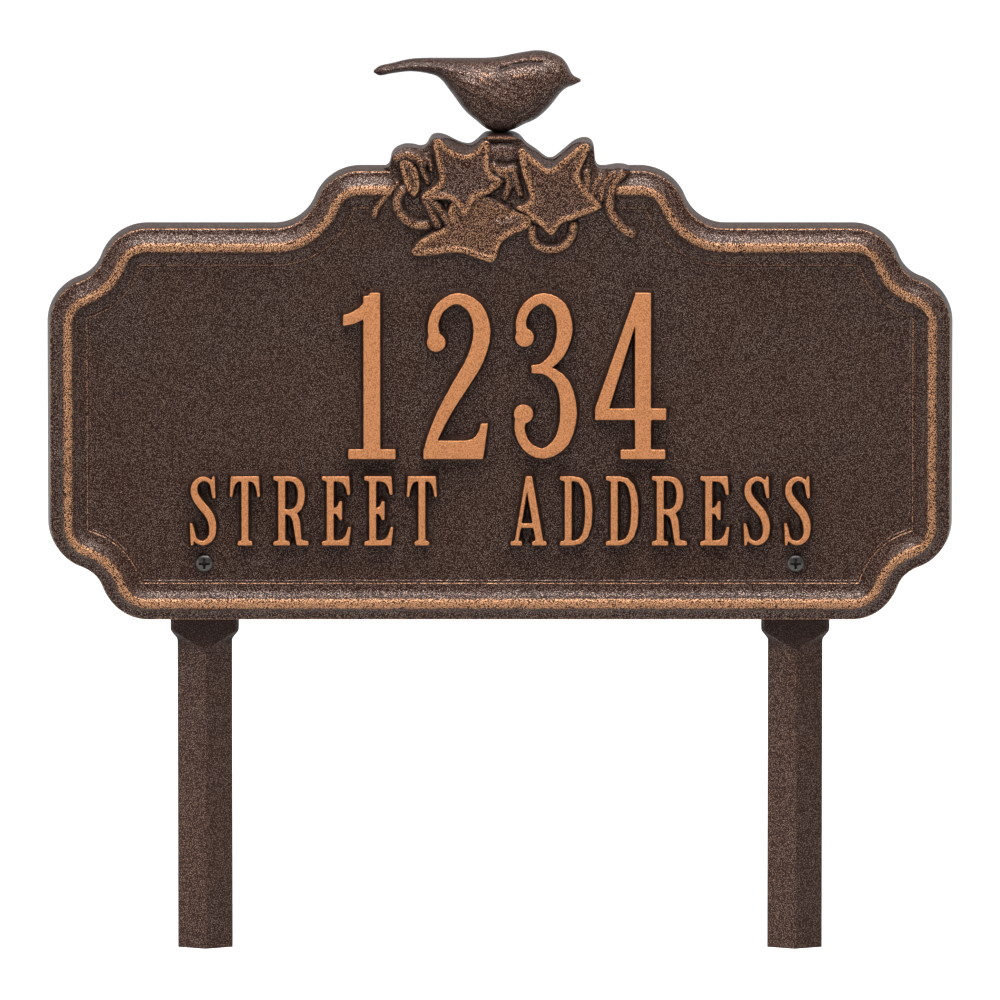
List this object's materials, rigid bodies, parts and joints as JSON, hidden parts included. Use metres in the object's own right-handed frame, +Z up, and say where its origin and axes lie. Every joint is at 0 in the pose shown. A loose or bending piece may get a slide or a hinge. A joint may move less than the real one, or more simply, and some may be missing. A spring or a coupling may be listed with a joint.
{
  "type": "lawn plaque",
  "caption": "Cast address plaque with scooped corners, arched top, ivy and a perching bird, raised characters, and ridged stakes that hold it above a lawn.",
  "frame": {"origin": "on the lawn surface midway between the two stakes, in the plane of the plate's back", "axes": "+Z up along the stakes, +X to the reader's right, the lettered face looks along -Y"},
  "size_m": [0.4064, 0.0291, 0.6768],
  "materials": {
    "bronze_coat": "cast, dark bronze hammertone coat, rubbed back to copper on high edges",
    "copper_characters": "cast, satin copper face with dark bronze sides",
    "stake_coat": "cast, dark bronze coat",
    "black_screw": "black oxide",
    "zinc_steel": "bright zinc plate"
  },
  "bodies": {
    "root": {"plaque_casting": "bronze_coat", "bird_finial": "bronze_coat", "digit_1": "copper_characters", "digit_2": "copper_characters", "digit_3": "copper_characters", "digit_4": "copper_characters", "letter_1": "copper_characters", "letter_2": "copper_characters", "letter_3": "copper_characters", "letter_4": "copper_characters", "letter_5": "copper_characters", "letter_6": "copper_characters", "letter_7": "copper_characters", "letter_8": "copper_characters", "letter_9": "copper_characters", "letter_10": "copper_characters", "letter_11": "copper_characters", "letter_12": "copper_characters", "letter_13": "copper_characters", "left_stake": "stake_coat", "left_screw": "black_screw", "left_flat_washer": "zinc_steel", "left_lock_washer": "zinc_steel", "left_nut": "zinc_steel", "right_stake": "stake_coat", "right_screw": "black_screw", "right_flat_washer": "zinc_steel", "right_lock_washer": "zinc_steel", "right_nut": "zinc_steel"}
  },
  "joints": []
}
